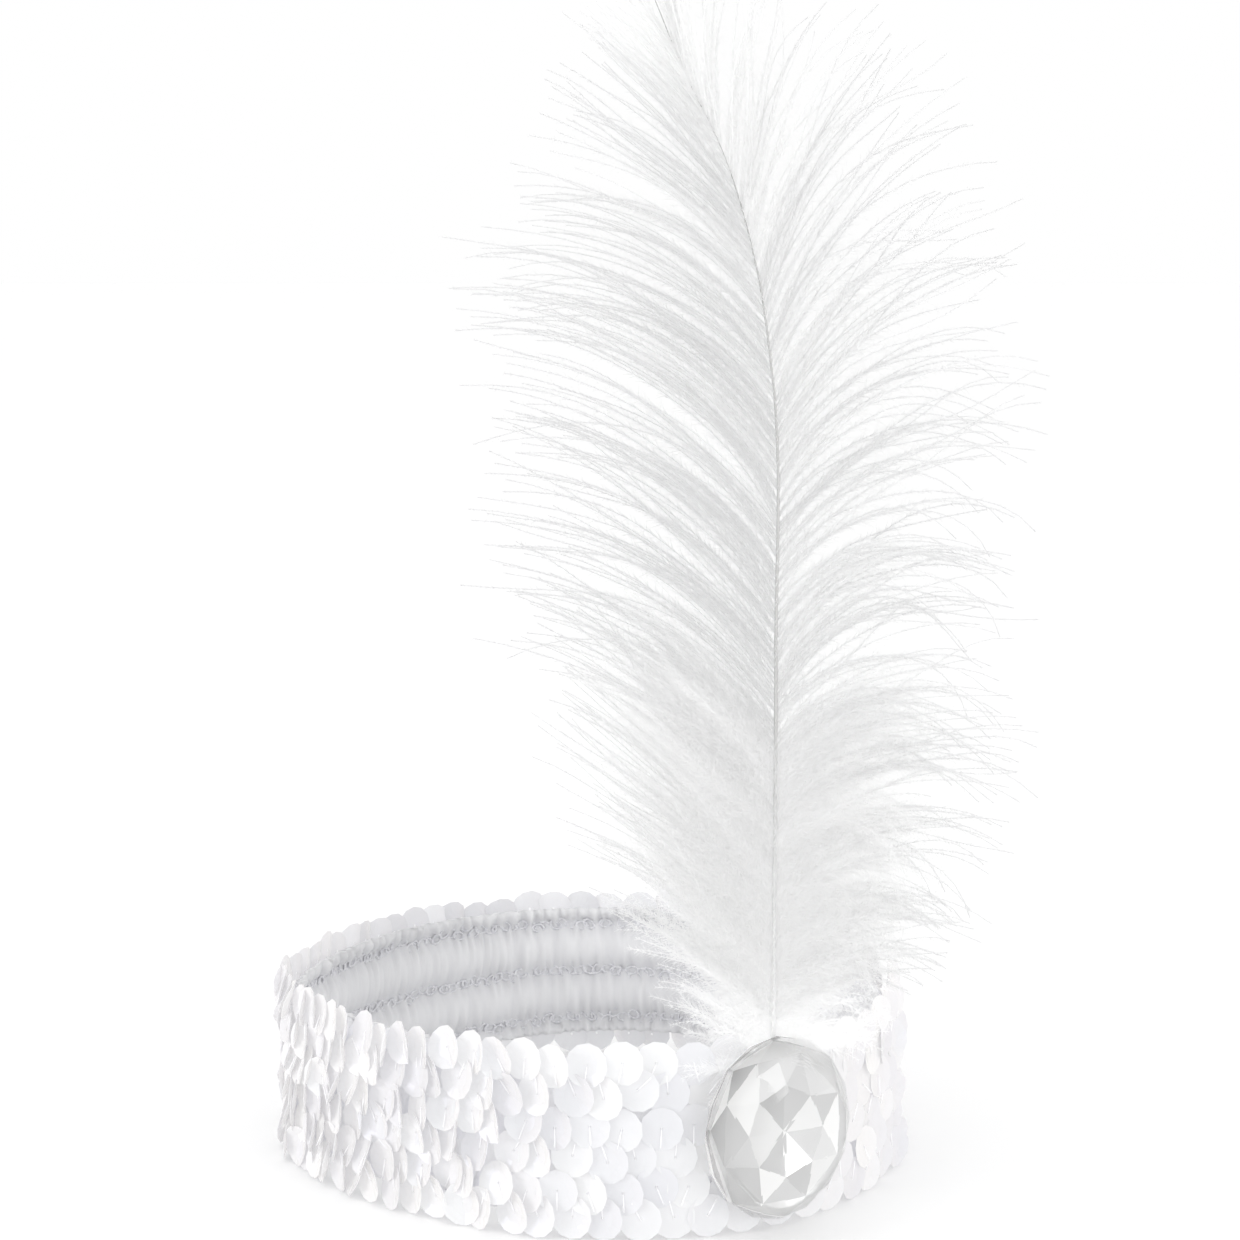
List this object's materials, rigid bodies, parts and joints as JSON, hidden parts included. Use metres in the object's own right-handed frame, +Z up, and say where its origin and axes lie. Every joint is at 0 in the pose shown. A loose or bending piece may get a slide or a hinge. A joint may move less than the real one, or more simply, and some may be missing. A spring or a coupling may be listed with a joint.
{
  "type": "flapper headband",
  "caption": "Closed stretch headband covered in zigzag strings of white sequins, standing on its edge, with an upright white ostrich plume and a clear oval cut stone at the front.",
  "frame": {"origin": "middle of the head opening, on the surface that the band stands on", "axes": "+Z up along the plume, -Y towards the front of the headband, +X to the right in the picture"},
  "size_m": [0.1601, 0.1442, 0.2675],
  "materials": {
    "elastic_knit": "white crochet-knit elastic, gathered",
    "sequin_film": "white pearl film, glossy, faintly lavender",
    "ostrich_feather": "white feather barbs, soft and matt",
    "clear_acrylic": "clear, cut in facets, silvered at the back"
  },
  "bodies": {
    "root": {"elastic_band": "elastic_knit", "sequin_string_1": "sequin_film", "sequin_string_2": "sequin_film", "sequin_string_3": "sequin_film", "plume": "ostrich_feather", "oval_stone": "clear_acrylic"}
  },
  "joints": []
}
